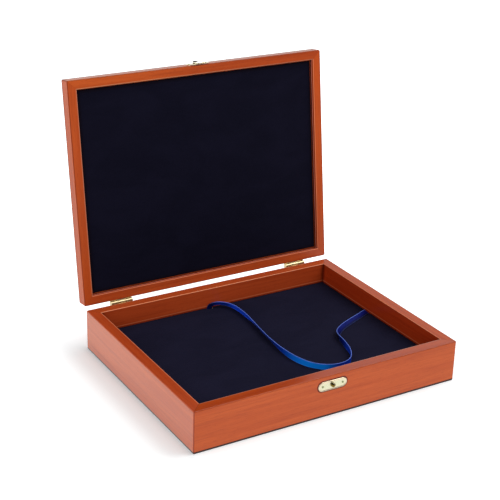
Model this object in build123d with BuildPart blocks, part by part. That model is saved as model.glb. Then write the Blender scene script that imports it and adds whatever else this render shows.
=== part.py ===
from build123d import *
import os
from math import asin, cos, radians, sin, tan

os.makedirs("parts", exist_ok=True)

# Driving dimensions, in millimetres and degrees

# Case: X along the front, Y to the back, Z up, origin under the middle of the base
case_length = 305.0
case_depth = 240.0
base_height = 45.0
base_wall = 12.0
lid_height = 15.0
lid_rail = 10.0
open_angle = 97.4
seam_gap = 0.3
corner_radius = 1.6
outer_arris = 1.0
inner_arris = 0.5

# Bottom, raised floor and lid panel
bottom_thickness = 4.0
rabbet_width = 6.0
floor_top = 22.5
board_thickness = 3.0
velvet_thickness = 0.6
floor_clearance = 0.25
batten_width = 8.0
lid_recess = 6.0
tongue_thickness = 4.0
tongue_reach = 4.0
card_thickness = 1.2
card_margin = 1.6

# Stop hinges, let into saw kerfs in the two back faces
hinge_spacing = 220.0
hinge_length = 25.0
pin_behind = 2.7
barrel_radius = 1.9
barrel_clearance = 0.2
leaf_near = 1.6
leaf_thickness = 1.2
leaf_reach = 8.0
outer_knuckle = 7.8
knuckle_gap = 0.3
hinge_pin_radius = 0.8
running_clearance = 0.05
stop_gap = 0.05

# Hasp catch, pressed from brass sheet
sheet = 0.6
base_plate_length = 33.0
base_plate_width = 10.0
base_plate_drop = 10.5
base_nail_spacing = 23.2
lid_plate_length = 27.0
lid_plate_width = 9.6
lid_plate_start = 1.8
lid_nail_spacing = 19.6
hasp_axis_height = 0.2
hasp_axis_out = 1.6
hasp_knuckle_radius = 1.3
hasp_knuckle_length = 5.8
plate_knuckle_length = 2.4
hasp_gap = 0.3
hasp_pin_radius = 0.6
hasp_hole_radius = 2.55
hasp_ring = 1.0
knob_neck_radius = 1.7
knob_head_radius = 2.3
knob_waist = 1.0
knob_shoulder = 2.6
knob_height = 3.2
rivet_radius = 1.2
rivet_length = 6.0
nail_head_radius = 1.15
nail_head_height = 0.5
nail_radius = 0.55
nail_length = 7.0
pilot_clearance = 0.05

# Lifting ribbon
ribbon_width = 6.5
ribbon_thickness = 0.5
ribbon_notch = (8.4, 3.2)
ribbon_from_wall = 0.7

# Places worked out from these sizes
half_length = case_length / 2
half_depth = case_depth / 2
inside_length = case_length - 2 * base_wall
inside_depth = case_depth - 2 * base_wall
pin_axis_y = half_depth + pin_behind
pin_axis_z = base_height + seam_gap / 2
board_bottom = floor_top - velvet_thickness - board_thickness
leaf_far = leaf_near + leaf_thickness
stop_angle = radians(open_angle / 2)

# The open lid's frame: at the pin axis, Y towards the hinge side, Z away from the seam
tilt = radians(open_angle)
lid_frame = Plane(
    origin=(0, pin_axis_y, pin_axis_z),
    x_dir=(1, 0, 0),
    z_dir=(0, sin(tilt), cos(tilt)),
)


def lid_plane(along, height):
    # A plane parallel to the lid's seam face, at a distance in front of the pin axis
    spot = lid_frame.from_local_coords(Vector(0, -along, height))
    return Plane(origin=spot, x_dir=(1, 0, 0), z_dir=lid_frame.z_dir)


lid_seat = lid_plane(pin_behind + half_depth, seam_gap / 2)


# Mitred frame sides: the whole frame is drawn, then one side is kept between its mitres
def mitre_outline(side):
    inner = half_length - half_depth
    corners = {
        "front": [(-half_length, -half_depth), (half_length, -half_depth), (inner, 0), (-inner, 0)],
        "back": [(half_length, half_depth), (-half_length, half_depth), (-inner, 0), (inner, 0)],
        "left": [(-half_length, half_depth), (-half_length, -half_depth), (-inner, 0)],
        "right": [(half_length, -half_depth), (half_length, half_depth), (inner, 0)],
    }
    return corners[side]


def frame_side(seat, height, thickness, side, rim_index, slot_inset, slot_start, slot_depth, cuts):
    # rim_index picks the face that shows in the open case: -1 is the far one, 0 the near one
    across = Axis(seat.origin, seat.z_dir)
    with BuildPart() as piece:
        with BuildSketch(seat):
            RectangleRounded(case_length, case_depth, corner_radius)
            Rectangle(case_length - 2 * thickness, case_depth - 2 * thickness, mode=Mode.SUBTRACT)
        extrude(amount=height)
        far_face = piece.faces().sort_by(across)[-1]
        near_face = piece.faces().sort_by(across)[0]
        outer_edges = far_face.outer_wire().edges() + near_face.outer_wire().edges()
        fillet(outer_edges, outer_arris)
        rim = piece.faces().filter_by(GeomType.PLANE).sort_by(across)[rim_index]
        fillet(rim.inner_wires()[0].edges(), inner_arris)
        # Slot for the panel: a rabbet at the bottom of the base, a groove in the lid
        with BuildSketch(seat.offset(slot_start)):
            Rectangle(case_length - 2 * slot_inset, case_depth - 2 * slot_inset)
        extrude(amount=slot_depth, mode=Mode.SUBTRACT)
        with BuildSketch(seat):
            with BuildLine():
                Polyline(*mitre_outline(side), close=True)
            make_face()
        extrude(amount=height, mode=Mode.INTERSECT)
        for cut in cuts:
            add(cut, mode=Mode.SUBTRACT)
    return piece.part


# Stop hinges. Section planes lie across the pin axis, X to the back and Y up in the closed case
def hinge_section(body_frame, x_start):
    spot = body_frame.from_local_coords(Vector(x_start, 0, 0))
    return Plane(origin=spot, x_dir=body_frame.y_dir, z_dir=(1, 0, 0))


base_frame = Plane(origin=(0, pin_axis_y, pin_axis_z))


def hinge_leaf(body_frame, x_start, above, knuckles):
    # above is 1 for the lid's leaf and -1 for the base's leaf
    heel_near = leaf_near / tan(stop_angle) - stop_gap
    heel_far = leaf_far / tan(stop_angle) - stop_gap
    leaf_end = -(pin_behind + leaf_reach)
    with BuildPart() as leaf:
        # Flat leaf that ends behind the barrel in a bevelled heel, the stop
        with BuildSketch(hinge_section(body_frame, x_start)):
            with BuildLine():
                Polyline(
                    (leaf_end, above * leaf_far),
                    (heel_far, above * leaf_far),
                    (heel_near, above * leaf_near),
                    (leaf_end, above * leaf_near),
                    close=True,
                )
            make_face()
        extrude(amount=hinge_length)
        # Room for the other leaf's knuckles
        with BuildSketch(hinge_section(body_frame, x_start)):
            Circle(barrel_radius + barrel_clearance)
        extrude(amount=hinge_length, mode=Mode.SUBTRACT)
        for start, length in knuckles:
            with BuildSketch(hinge_section(body_frame, x_start + start)):
                Circle(barrel_radius)
                with BuildLine():
                    Polyline(
                        (-barrel_radius - 0.6, above * leaf_far),
                        (heel_far, above * leaf_far),
                        (heel_near, above * leaf_near),
                        (0, 0),
                        (-barrel_radius - 0.6, above * leaf_near),
                        close=True,
                    )
                make_face()
            extrude(amount=length)
        bore = hinge_pin_radius if above < 0 else hinge_pin_radius + running_clearance
        with BuildSketch(hinge_section(body_frame, x_start)):
            Circle(bore)
        extrude(amount=hinge_length, mode=Mode.SUBTRACT)
    return leaf.part


def kerf_cut(body_frame, x_start, above):
    # Saw kerf for one leaf, as long as the leaf with a hair of room at its ends
    end_room = 0.1
    with BuildPart() as kerf:
        with BuildSketch(hinge_section(body_frame, x_start - end_room)):
            with BuildLine():
                Polyline(
                    (-(pin_behind + leaf_reach) - end_room, above * leaf_near),
                    (-pin_behind + 1, above * leaf_near),
                    (-pin_behind + 1, above * leaf_far),
                    (-(pin_behind + leaf_reach) - end_room, above * leaf_far),
                    close=True,
                )
            make_face()
        extrude(amount=hinge_length + 2 * end_room)
    return kerf.part


hinge_starts = {
    "left": -hinge_spacing / 2 - hinge_length / 2,
    "right": hinge_spacing / 2 - hinge_length / 2,
}
base_kerfs = [kerf_cut(base_frame, start, -1) for start in hinge_starts.values()]
lid_kerfs = [kerf_cut(lid_frame, start, 1) for start in hinge_starts.values()]

centre_start = outer_knuckle + knuckle_gap
centre_length = hinge_length - 2 * centre_start
base_knuckles = [(0, outer_knuckle), (hinge_length - outer_knuckle, outer_knuckle)]
lid_knuckles = [(centre_start, centre_length)]

for hand, start in hinge_starts.items():
    base_leaf = hinge_leaf(base_frame, start, -1, base_knuckles)
    base_leaf.label = f"hinge_{hand}_base_leaf"
    export_step(base_leaf, f"parts/hinge_{hand}_base_leaf.step")

    lid_leaf = hinge_leaf(lid_frame, start, 1, lid_knuckles)
    lid_leaf.label = f"hinge_{hand}_lid_leaf"
    export_step(lid_leaf, f"parts/hinge_{hand}_lid_leaf.step")

    with BuildPart() as hinge_pin:
        with BuildSketch(hinge_section(base_frame, start)):
            Circle(hinge_pin_radius)
        extrude(amount=hinge_length)
    hinge_pin.part.label = f"hinge_{hand}_pin"
    export_step(hinge_pin.part, f"parts/hinge_{hand}_pin.step")


# Catch. Face planes lie on the front faces, X along the case and Z outwards
knob_height_on_base = base_height - base_plate_drop
base_catch_face = Plane(
    origin=(0, -half_depth, knob_height_on_base), x_dir=(1, 0, 0), z_dir=(0, -1, 0)
)
lid_front = pin_behind + case_depth
lid_out = -lid_frame.y_dir


def lid_face_plane(height, out):
    spot = lid_frame.from_local_coords(Vector(0, -lid_front - out, height))
    return Plane(origin=spot, x_dir=(1, 0, 0), z_dir=lid_out)


lid_plate_centre = hasp_axis_height + lid_plate_start + lid_plate_width / 2
lid_catch_face = lid_face_plane(lid_plate_centre, 0)


def pilot_holes(face, spacing):
    with BuildPart() as pilots:
        with BuildSketch(face):
            with GridLocations(spacing, 0, 2, 1):
                Circle(nail_radius + pilot_clearance)
        extrude(amount=-nail_length)
    return pilots.part


def nail_pair(face, spacing):
    # Two round-headed brass pins through the plate
    with BuildPart() as nails:
        with BuildSketch(face):
            with GridLocations(spacing, 0, 2, 1):
                Circle(nail_radius)
        extrude(amount=sheet)
        with BuildSketch(face):
            with GridLocations(spacing, 0, 2, 1):
                Circle(nail_radius)
        extrude(amount=-nail_length + 0.5)
        with BuildSketch(face.offset(sheet)):
            with GridLocations(spacing, 0, 2, 1):
                Circle(nail_head_radius)
        extrude(amount=nail_head_height)
        head_rims = nails.edges().filter_by(GeomType.CIRCLE).sort_by(Axis(face.origin, face.z_dir))[-2:]
        fillet(head_rims, nail_head_height * 0.8)
    return nails.part


with BuildPart() as catch_base_plate:
    with BuildSketch(base_catch_face):
        SlotOverall(base_plate_length, base_plate_width)
        Circle(rivet_radius, mode=Mode.SUBTRACT)
        with GridLocations(base_nail_spacing, 0, 2, 1):
            Circle(nail_radius, mode=Mode.SUBTRACT)
    extrude(amount=sheet)
    plate_front = catch_base_plate.faces().sort_by(Axis.Y)[0]
    fillet(plate_front.outer_wire().edges(), sheet / 2)
catch_base_plate.part.label = "catch_base_plate"
export_step(catch_base_plate.part, "parts/catch_base_plate.step")

base_plate_nails = nail_pair(base_catch_face, base_nail_spacing)
base_plate_nails.label = "base_plate_nails"
export_step(base_plate_nails, "parts/base_plate_nails.step")

# Knob: a turned rivet with a rounded head on a waisted neck, drawn from its axis outwards
knob_section = Plane(origin=base_catch_face.origin, x_dir=(1, 0, 0), z_dir=(0, 0, 1))
cap_rise = knob_height - knob_shoulder
cap_radius = (knob_neck_radius**2 + cap_rise**2) / (2 * cap_rise)
cap_half_angle = asin(knob_neck_radius / cap_radius) / 2
cap_middle = (cap_radius * sin(cap_half_angle), cap_radius * (1 - cos(cap_half_angle)) - knob_height)
with BuildPart() as catch_knob:
    with BuildSketch(knob_section):
        with BuildLine():
            Polyline(
                (0, rivet_length),
                (rivet_radius, rivet_length),
                (rivet_radius, -sheet),
                (knob_neck_radius, -sheet),
                (knob_neck_radius, -knob_waist),
            )
            ThreePointArc(
                (knob_neck_radius, -knob_waist),
                (knob_head_radius, -(knob_waist + knob_shoulder) / 2),
                (knob_neck_radius, -knob_shoulder),
            )
            ThreePointArc((knob_neck_radius, -knob_shoulder), cap_middle, (0, -knob_height))
            Line((0, -knob_height), (0, rivet_length))
        make_face()
    revolve(axis=Axis(knob_section.origin, (0, 1, 0)))
catch_knob.part.label = "catch_knob"
export_step(catch_knob.part, "parts/catch_knob.step")

with BuildPart() as rivet_hole:
    with BuildSketch(base_catch_face):
        Circle(rivet_radius + pilot_clearance)
    extrude(amount=-rivet_length - 0.2)

# Lid plate, with two knuckles on its lower edge
hasp_axis_plane = lid_face_plane(hasp_axis_height, hasp_axis_out)
hasp_section = Plane(origin=hasp_axis_plane.origin, x_dir=lid_out, z_dir=(1, 0, 0))


def section_at(x_start):
    return hasp_section.offset(x_start)


with BuildPart() as lid_catch_plate:
    with BuildSketch(lid_catch_face):
        SlotOverall(lid_plate_length, lid_plate_width)
        with GridLocations(lid_nail_spacing, 0, 2, 1):
            Circle(nail_radius, mode=Mode.SUBTRACT)
    extrude(amount=sheet)
    tab_top = -lid_plate_start - lid_plate_width * 0.2
    for inner_end in (hasp_knuckle_length / 2 + hasp_gap, -hasp_knuckle_length / 2 - hasp_gap):
        reach = plate_knuckle_length if inner_end > 0 else -plate_knuckle_length
        with BuildSketch(section_at(inner_end)):
            Circle(hasp_knuckle_radius)
            # The sheet runs down flat on the wood and curls round the pin
            with BuildLine():
                Polyline(
                    (-hasp_axis_out, 0),
                    (-hasp_axis_out, tab_top),
                    (-hasp_axis_out + sheet, tab_top),
                    (-hasp_axis_out + sheet, 0),
                    close=True,
                )
            make_face()
            Circle(hasp_pin_radius, mode=Mode.SUBTRACT)
        extrude(amount=reach)
lid_catch_plate.part.label = "lid_catch_plate"
export_step(lid_catch_plate.part, "parts/lid_catch_plate.step")

lid_plate_nails = nail_pair(lid_catch_face, lid_nail_spacing)
lid_plate_nails.label = "lid_plate_nails"
export_step(lid_plate_nails, "parts/lid_plate_nails.step")

pin_length = hasp_knuckle_length + 2 * hasp_gap + 2 * plate_knuckle_length
with BuildPart() as hasp_pin:
    with BuildSketch(section_at(-pin_length / 2)):
        Circle(hasp_pin_radius)
    extrude(amount=pin_length)
hasp_pin.part.label = "hasp_pin"
export_step(hasp_pin.part, "parts/hasp_pin.step")

# Hasp, folded back over the lid plate; hanging down, its hole drops over the knob
hasp_reach = pin_axis_z + hasp_axis_height - knob_height_on_base
with BuildPart() as hasp:
    with BuildSketch(hasp_axis_plane):
        with Locations((0, hasp_reach)):
            Circle(hasp_hole_radius + hasp_ring)
        with Locations((0, hasp_knuckle_radius)):
            Rectangle(hasp_knuckle_length, 0.4)
        make_hull()
        with Locations((0, hasp_knuckle_radius / 2)):
            Rectangle(hasp_knuckle_length, hasp_knuckle_radius)
        with Locations((0, hasp_reach)):
            Circle(hasp_hole_radius, mode=Mode.SUBTRACT)
    extrude(amount=sheet / 2, both=True)
    with BuildSketch(section_at(-hasp_knuckle_length / 2)):
        Circle(hasp_knuckle_radius)
    extrude(amount=hasp_knuckle_length)
    with BuildSketch(section_at(-hasp_knuckle_length / 2)):
        Circle(hasp_pin_radius + running_clearance)
    extrude(amount=hasp_knuckle_length, mode=Mode.SUBTRACT)
hasp.part.label = "hasp"
export_step(hasp.part, "parts/hasp.step")


# Base walls and lid rails
base_cuts = {
    "front": [pilot_holes(base_catch_face, base_nail_spacing), rivet_hole.part],
    "back": base_kerfs,
    "left": [],
    "right": [],
}
for side, cuts in base_cuts.items():
    base_side = frame_side(
        Plane.XY, base_height, base_wall, side, -1, base_wall - rabbet_width, 0, bottom_thickness, cuts
    )
    base_side.label = f"base_{side}_wall"
    export_step(base_side, f"parts/base_{side}_wall.step")

lid_cuts = {
    "front": [pilot_holes(lid_catch_face, lid_nail_spacing)],
    "back": lid_kerfs,
    "left": [],
    "right": [],
}
tongue_start = lid_height - tongue_thickness - 3.0
for side, cuts in lid_cuts.items():
    lid_side = frame_side(
        lid_seat, lid_height, lid_rail, side, 0, lid_rail - tongue_reach, tongue_start, tongue_thickness, cuts
    )
    lid_side.label = f"lid_{side}_rail"
    export_step(lid_side, f"parts/lid_{side}_rail.step")

# Bottom panel, flush in the rabbet
with BuildPart() as base_bottom_panel:
    with BuildSketch(Plane.XY):
        Rectangle(inside_length + 2 * rabbet_width, inside_depth + 2 * rabbet_width)
    extrude(amount=bottom_thickness)
base_bottom_panel.part.label = "base_bottom_panel"
export_step(base_bottom_panel.part, "parts/base_bottom_panel.step")

# Battens that carry the raised floor
batten_height = board_bottom - bottom_thickness
batten_places = {
    "front": (0, -(inside_depth - batten_width) / 2, inside_length, batten_width),
    "back": (0, (inside_depth - batten_width) / 2, inside_length, batten_width),
    "left": (-(inside_length - batten_width) / 2, 0, batten_width, inside_depth - 2 * batten_width),
    "right": ((inside_length - batten_width) / 2, 0, batten_width, inside_depth - 2 * batten_width),
}
for side, (x, y, size_x, size_y) in batten_places.items():
    with BuildPart() as batten:
        with BuildSketch(Plane.XY.offset(bottom_thickness)):
            with Locations((x, y)):
                Rectangle(size_x, size_y)
        extrude(amount=batten_height)
    batten.part.label = f"floor_batten_{side}"
    export_step(batten.part, f"parts/floor_batten_{side}.step")

# Ribbon route along its centre line: up out of the slot at the back wall, across the floor,
# round behind the front wall and down into the slot at the right wall
back_slot_x = -11.0
right_slot_y = 16.6
back_slot_y = inside_depth / 2 - ribbon_from_wall
right_slot_x = inside_length / 2 - ribbon_from_wall
standing = floor_top + ribbon_width / 2 + 0.2
ribbon_route = [
    (back_slot_x, back_slot_y, board_bottom),
    (back_slot_x, back_slot_y, floor_top + 1.0),
    (back_slot_x + 2.6, back_slot_y - 1.2, floor_top + 3.9),
    (-2.4, 104.2, floor_top + 4.9),
    (5.2, 101.4, floor_top + 4.1),
    (9.9, 93.9, floor_top + 3.6),
    (12.1, 82.4, standing),
    (12.0, 67.6, standing),
    (11.4, 50.4, standing - 0.2),
    (8.2, 29.4, standing - 0.2),
    (5.6, 5.3, standing - 0.2),
    (3.2, -20.6, standing),
    (4.9, -46.3, standing),
    (13.4, -67.2, standing),
    (30.2, -79.2, standing),
    (50.8, -77.9, standing),
    (63.9, -61.6, standing),
    (69.4, -41.0, standing),
    (73.4, -20.9, standing),
    (82.6, -11.2, standing - 0.3),
    (96.0, -2.9, standing - 0.8),
    (111.0, 4.2, standing - 1.3),
    (124.4, 9.7, standing - 1.5),
    (132.4, 13.4, standing - 1.5),
    (right_slot_x - 3.2, 15.2, standing - 1.6),
    (right_slot_x - 1.0, 16.2, floor_top + 0.7),
    (right_slot_x, right_slot_y, floor_top - 1.5),
    (right_slot_x, right_slot_y, board_bottom),
]


def corner_radii(route):
    # As large as the two runs at each corner allow
    radii = []
    for before, corner, after in zip(route, route[1:], route[2:]):
        run_in = Vector(corner) - Vector(before)
        run_out = Vector(after) - Vector(corner)
        turn = radians(run_in.get_angle(run_out))
        shorter = min(run_in.length, run_out.length)
        radii.append(0.45 * shorter / tan(turn / 2))
    return radii


ribbon_radii = corner_radii(ribbon_route)
print("ribbon arc radii:", [round(radius, 1) for radius in ribbon_radii])

with BuildLine() as ribbon_line:
    FilletPolyline(*ribbon_route, radius=ribbon_radii)
ribbon_path = ribbon_line.wire()
ribbon_length = ribbon_path.length
print("ribbon length:", round(ribbon_length, 1))

# Lean of the ribbon from standing on its edge, in degrees, at fractions of its length
ribbon_lean = [
    (0.0, 25),
    (0.015, 26),
    (0.03, 33),
    (0.055, 36),
    (0.10, 15),
    (0.16, 14),
    (0.20, 28),
    (0.32, 29),
    (0.36, 19),
    (0.40, 6),
    (0.44, -8),
    (0.48, -8),
    (0.52, 2),
    (0.60, 3),
    (0.68, 0),
    (0.73, 10),
    (0.76, 0),
    (0.80, -32),
    (0.84, -52),
    (0.93, -64),
    (0.975, -68),
    (1.0, -70),
]
ribbon_stations = 90


def level_way(start, end):
    # The level direction square to a run of the route
    return (Vector(end) - Vector(start)).cross(Vector(0, 0, 1)).normalized()


first_level = level_way(ribbon_route[1], ribbon_route[2])
last_level = level_way(ribbon_route[-3], ribbon_route[-2])


def lean_at(fraction):
    for (low, low_lean), (high, high_lean) in zip(ribbon_lean, ribbon_lean[1:]):
        if fraction <= high:
            share = (fraction - low) / (high - low)
            return radians(low_lean + share * (high_lean - low_lean))
    return radians(ribbon_lean[-1][1])


def ribbon_section(fraction):
    # The wide way of the ribbon is upright at a lean of 0 and level at 90
    distance = fraction * ribbon_length
    spot = ribbon_path.position_at(distance, position_mode=PositionMode.LENGTH)
    heading = ribbon_path.tangent_at(distance, position_mode=PositionMode.LENGTH)
    level = heading.cross(Vector(0, 0, 1))
    if level.length < 0.02:
        level = first_level if fraction < 0.5 else last_level
    level = level.normalized()
    upright = level.cross(heading).normalized()
    lean = lean_at(fraction)
    wide = upright * cos(lean) + level * sin(lean)
    return Plane(origin=spot, x_dir=wide, z_dir=heading)


with BuildPart() as lifting_ribbon:
    for station in range(ribbon_stations + 1):
        with BuildSketch(ribbon_section(station / ribbon_stations)):
            Rectangle(ribbon_width, ribbon_thickness)
    loft(ruled=True)
lifting_ribbon.part.label = "lifting_ribbon"
export_step(lifting_ribbon.part, "parts/lifting_ribbon.step")
print(
    "ribbon volume over section times length:",
    round(lifting_ribbon.part.volume / (ribbon_length * ribbon_width * ribbon_thickness), 3),
)


# Raised floor: a board and its velvet, both notched where the ribbon goes down
def floor_layer(height, thickness):
    notch_long, notch_deep = ribbon_notch
    with BuildPart() as layer:
        with BuildSketch(Plane.XY.offset(height)):
            Rectangle(inside_length - 2 * floor_clearance, inside_depth - 2 * floor_clearance)
            with Locations((back_slot_x, inside_depth / 2 - notch_deep / 2)):
                Rectangle(notch_long, notch_deep, mode=Mode.SUBTRACT)
            with Locations((inside_length / 2 - notch_deep / 2, right_slot_y)):
                Rectangle(notch_deep, notch_long, mode=Mode.SUBTRACT)
        extrude(amount=thickness)
    return layer.part


floor_board = floor_layer(board_bottom, board_thickness)
floor_board.label = "floor_board"
export_step(floor_board, "parts/floor_board.step")

floor_velvet = floor_layer(floor_top - velvet_thickness, velvet_thickness)
floor_velvet.label = "floor_velvet"
export_step(floor_velvet, "parts/floor_velvet.step")


# Lid panel, with a tongue all round in the rails' groove, and the lining under it
lid_inside_length = case_length - 2 * lid_rail
lid_inside_depth = case_depth - 2 * lid_rail
with BuildPart() as lid_top_panel:
    with BuildSketch(lid_seat.offset(lid_recess)):
        Rectangle(lid_inside_length, lid_inside_depth)
    extrude(amount=lid_height - lid_recess)
    with BuildSketch(lid_seat.offset(tongue_start)):
        Rectangle(lid_inside_length + 2 * tongue_reach, lid_inside_depth + 2 * tongue_reach)
    extrude(amount=tongue_thickness)
lid_top_panel.part.label = "lid_top_panel"
export_step(lid_top_panel.part, "parts/lid_top_panel.step")

card_length = lid_inside_length - 2 * card_margin
card_depth = lid_inside_depth - 2 * card_margin
lining_layers = {
    "lid_lining_card": (lid_recess - card_thickness, card_thickness),
    "lid_velvet": (lid_recess - card_thickness - velvet_thickness, velvet_thickness),
}
for name, (height, thickness) in lining_layers.items():
    with BuildPart() as layer:
        with BuildSketch(lid_seat.offset(height)):
            Rectangle(card_length, card_depth)
        extrude(amount=thickness)
    layer.part.label = name
    export_step(layer.part, f"parts/{name}.step")
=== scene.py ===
import math

import bmesh
import bpy
import numpy as np
from mathutils import Matrix, Vector


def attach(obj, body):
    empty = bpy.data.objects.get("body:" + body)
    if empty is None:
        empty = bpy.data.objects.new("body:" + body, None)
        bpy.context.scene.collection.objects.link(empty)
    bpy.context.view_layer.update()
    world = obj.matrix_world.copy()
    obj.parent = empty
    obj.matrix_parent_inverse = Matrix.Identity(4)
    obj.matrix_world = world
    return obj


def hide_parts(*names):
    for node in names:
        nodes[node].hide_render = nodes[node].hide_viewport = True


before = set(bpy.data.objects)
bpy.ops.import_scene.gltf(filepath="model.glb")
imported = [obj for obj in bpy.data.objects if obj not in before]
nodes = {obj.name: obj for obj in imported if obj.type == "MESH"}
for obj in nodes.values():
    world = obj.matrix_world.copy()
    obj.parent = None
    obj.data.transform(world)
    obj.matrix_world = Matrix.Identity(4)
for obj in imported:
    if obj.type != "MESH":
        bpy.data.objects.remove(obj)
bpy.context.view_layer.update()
print("frame loaded:", len(nodes), "nodes")

mm = 0.001


# camera, set by the photo's corners; angles in degrees
view = {
    "spot": (-0.6349, -1.0060, 0.6343), "heading": 31.225, "down": 22.988, "roll": 1.642,
    "lens": 91.78, "clip": (0.05, 50),
}

def makeCamera():
    heading, down, roll = (math.radians(view[k]) for k in ("heading", "down", "roll"))
    flat = math.cos(down)
    ahead = Vector((math.sin(heading) * flat, math.cos(heading) * flat, -math.sin(down)))
    level = ahead.cross(Vector((0, 0, 1))).normalized()
    upward = level.cross(ahead)
    across = level * math.cos(roll) + upward * math.sin(roll)
    rise = upward * math.cos(roll) - level * math.sin(roll)
    data = bpy.data.cameras.new("camera")
    data.lens = view["lens"]
    data.clip_start, data.clip_end = view["clip"]
    camera = bpy.data.objects.new("camera", data)
    bpy.context.scene.collection.objects.link(camera)
    turn = Matrix((across, rise, -ahead)).transposed().to_4x4()
    camera.matrix_world = Matrix.Translation(view["spot"]) @ turn
    bpy.context.scene.camera = camera

makeCamera()
print("camera set")


# sizes that more than one piece goes by
case = {"halfLength": 152.5 * mm, "halfDepth": 120 * mm, "seam": 45 * mm, "wall": 12 * mm, "rail": 10 * mm}
# the oval catch plate and the middle of its knob, and the height of the hasp's hole over the seam
catch = {"halfLong": 16.5 * mm, "halfWide": 5.0 * mm, "height": 34.5 * mm, "hole": 11.05 * mm}
# the pin's place, and how far ahead of it the lid's middle and front face lie
lid = {"pin": (0, 0.1227, 0.04515), "open": math.radians(97.4), "middle": 0.1227, "front": 0.2427}
# the open lid's own axes: x along the case, v towards the hinges, w away from the seam
lidV = np.array((0, math.cos(lid["open"]), -math.sin(lid["open"])))
lidW = np.array((0, math.sin(lid["open"]), math.cos(lid["open"])))

def onLid(x, ahead, height):
    # pin axis + x along it - v times the distance ahead of it + w times the height over the seam
    x, ahead, height = np.broadcast_arrays(x, ahead, height)
    across = np.stack((x, 0 * x, 0 * x), -1)
    return np.array(lid["pin"]) + across - ahead[..., None] * lidV + height[..., None] * lidW


# nodes of the materials
def addNode(tree, kind, settings=None, inputs=None):
    made = tree.nodes.new(kind)
    for name, value in (settings or {}).items():
        setattr(made, name, value)
    for name, value in (inputs or {}).items():
        if isinstance(value, bpy.types.NodeSocket):
            tree.links.new(value, made.inputs[name])
        else:
            made.inputs[name].default_value = value
    return made

def maths(way):
    def made(tree, first, second=0.0):
        return addNode(tree, "ShaderNodeMath", {"operation": way}, {0: first, 1: second}).outputs[0]
    return made

plus, minus, times, root = maths("ADD"), maths("SUBTRACT"), maths("MULTIPLY"), maths("SQRT")
larger, smaller, sizeOf = maths("MAXIMUM"), maths("MINIMUM"), maths("ABSOLUTE")

def distance(tree, first, second):
    # root of the sum of both squares
    return root(tree, plus(tree, times(tree, first, first), times(tree, second, second)))

def mixColours(tree, share, first, second, way="MIX"):
    # inputs 0, 6 and 7 are the mix node's factor and its two colours
    made = addNode(tree, "ShaderNodeMix", {"data_type": "RGBA", "blend_type": way}, {0: share, 6: first, 7: second})
    return made.outputs[2]

def mixValues(tree, share, first, second):
    return addNode(tree, "ShaderNodeMix", None, {0: share, 2: first, 3: second}).outputs[0]

def reach(tree, value, low, high, atLow=0.0, atHigh=1.0):
    # a smooth step from atLow to atHigh while the value goes from low to high
    made = addNode(tree, "ShaderNodeMapRange", {"interpolation_type": "SMOOTHSTEP"},
                   {"Value": value, "From Min": low, "From Max": high, "To Min": atLow, "To Max": atHigh})
    return made.outputs["Result"]

def between(tree, value, rise, fall):
    return times(tree, reach(tree, value, *rise), reach(tree, value, *fall))

def axes(tree, vector):
    return addNode(tree, "ShaderNodeSeparateXYZ", None, {0: vector}).outputs

def noise(tree, vector, scale, detail=2.0, rough=0.5, bend=0.0):
    made = addNode(tree, "ShaderNodeTexNoise", None,
                   {"Vector": vector, "Scale": scale, "Detail": detail, "Roughness": rough, "Distortion": bend})
    return made.outputs["Fac"]

def stretch(tree, vector, scale, shift=(0, 0, 0)):
    made = addNode(tree, "ShaderNodeMapping", None, {"Vector": vector, "Scale": scale, "Location": shift})
    return made.outputs["Vector"]

def objectCoords(tree):
    return addNode(tree, "ShaderNodeTexCoord").outputs["Object"]

def boardCoords(tree, onTheLid):
    # object coordinates turned into the lid's own axes, with their origin in the middle of the lid
    if not onTheLid:
        return objectCoords(tree)
    middle = onLid(0.0, lid["middle"], 0.0)
    made = addNode(tree, "ShaderNodeMapping", {"vector_type": "TEXTURE"},
                   {"Vector": objectCoords(tree), "Location": tuple(middle), "Rotation": (-lid["open"], 0, 0)})
    return made.outputs["Vector"]

def fromCatch(tree, coords):
    # distance from the straight middle line of the catch plate: what x goes past its end, and the rise
    parts = axes(tree, coords)
    past = larger(tree, minus(tree, sizeOf(tree, parts["X"]), catch["halfLong"] - catch["halfWide"]), 0.0)
    return distance(tree, past, minus(tree, parts["Z"], catch["height"]))

def startMaterial(name, fixed):
    material = bpy.data.materials.new(name)
    material.use_nodes = True
    tree = material.node_tree
    shader = next(n for n in tree.nodes if n.type == "BSDF_PRINCIPLED")
    for socket, value in fixed.items():
        shader.inputs[socket].default_value = value
    return material, tree, shader

def connect(tree, shader, colour, heights, bump, rough=None):
    tree.links.new(colour, shader.inputs["Base Color"])
    if rough is not None:
        tree.links.new(rough, shader.inputs["Roughness"])
    made = addNode(tree, "ShaderNodeBump", None, {"Height": heights, **bump})
    tree.links.new(made.outputs["Normal"], shader.inputs["Normal"])

def dress(names, material):
    for name in names:
        nodes[name].data.materials.clear()
        nodes[name].data.materials.append(material)


# cherry stain under satin lacquer
wood = {
    "deep": (0.335, 0.042, 0.0072, 1), "plain": (0.440, 0.062, 0.0110, 1), "pale": (0.520, 0.092, 0.0190, 1),
    "pore": (0.200, 0.020, 0.0050, 1), "joint": (0.110, 0.012, 0.0040, 1), "wornAndSheen": (0.78, 0.27, 0.130, 1),
    "dullSheen": (0.46, 0.19, 0.115, 1),
    "fixed": {"Coat Roughness": 0.10, "IOR": 1.42}, "roughness": 0.20, "spread": 0.10,
    "fibreHigh": 0.35, "poreDeep": (0.60, 0.70, 0, 0.5), "bump": {"Strength": 0.16, "Distance": 0.12 * mm},
}
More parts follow.
